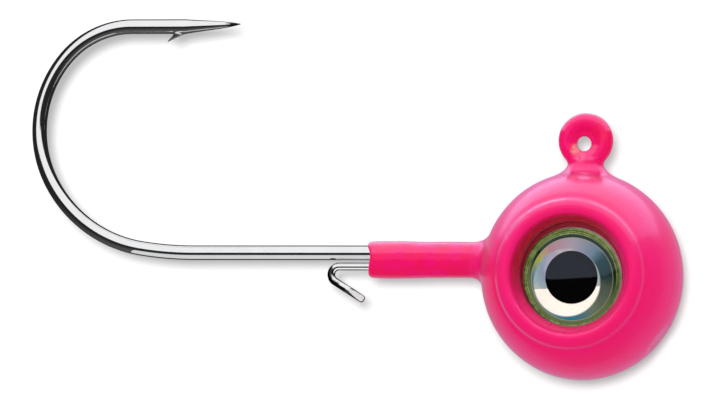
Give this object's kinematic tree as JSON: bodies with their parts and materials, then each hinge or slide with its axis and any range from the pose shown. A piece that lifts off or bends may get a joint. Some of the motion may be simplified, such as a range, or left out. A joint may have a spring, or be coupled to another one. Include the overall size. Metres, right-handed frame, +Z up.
{
  "type": "jig head",
  "caption": "Ball-headed fishing jig: a barbed hook cast into a painted round head with a line-tie ring, a bait collar with a wire keeper, and recessed domed eyes.",
  "frame": {"origin": "centre of the hole in the line tie, where the part hangs from the line", "axes": "+X from the hook's bend to the head along the shank, +Z up from the ball to the line tie and along the line tie's neck, +Y along the line tie's hole, to the left when looking along +X; the plane y = 0 is the plane of the hook and of symmetry"},
  "size_m": [0.0408, 0.0096, 0.0222],
  "materials": {
    "hook_wire": "polished",
    "keeper_wire": "polished",
    "lead_alloy": "matte",
    "pink_coat": "gloss",
    "eye_adhesive": "matte",
    "eye_foil": "polished",
    "eye_pupil": "gloss",
    "eye_lens": "gloss"
  },
  "bodies": {
    "root": {"hook": "hook_wire", "keeper_wire": "keeper_wire", "head_casting": "lead_alloy", "colour_coat": "pink_coat", "right_eye_adhesive": "eye_adhesive", "right_eye_foil": "eye_foil", "right_eye_pupil": "eye_pupil", "right_eye_lens": "eye_lens", "left_eye_adhesive": "eye_adhesive", "left_eye_foil": "eye_foil", "left_eye_pupil": "eye_pupil", "left_eye_lens": "eye_lens"}
  },
  "joints": []
}
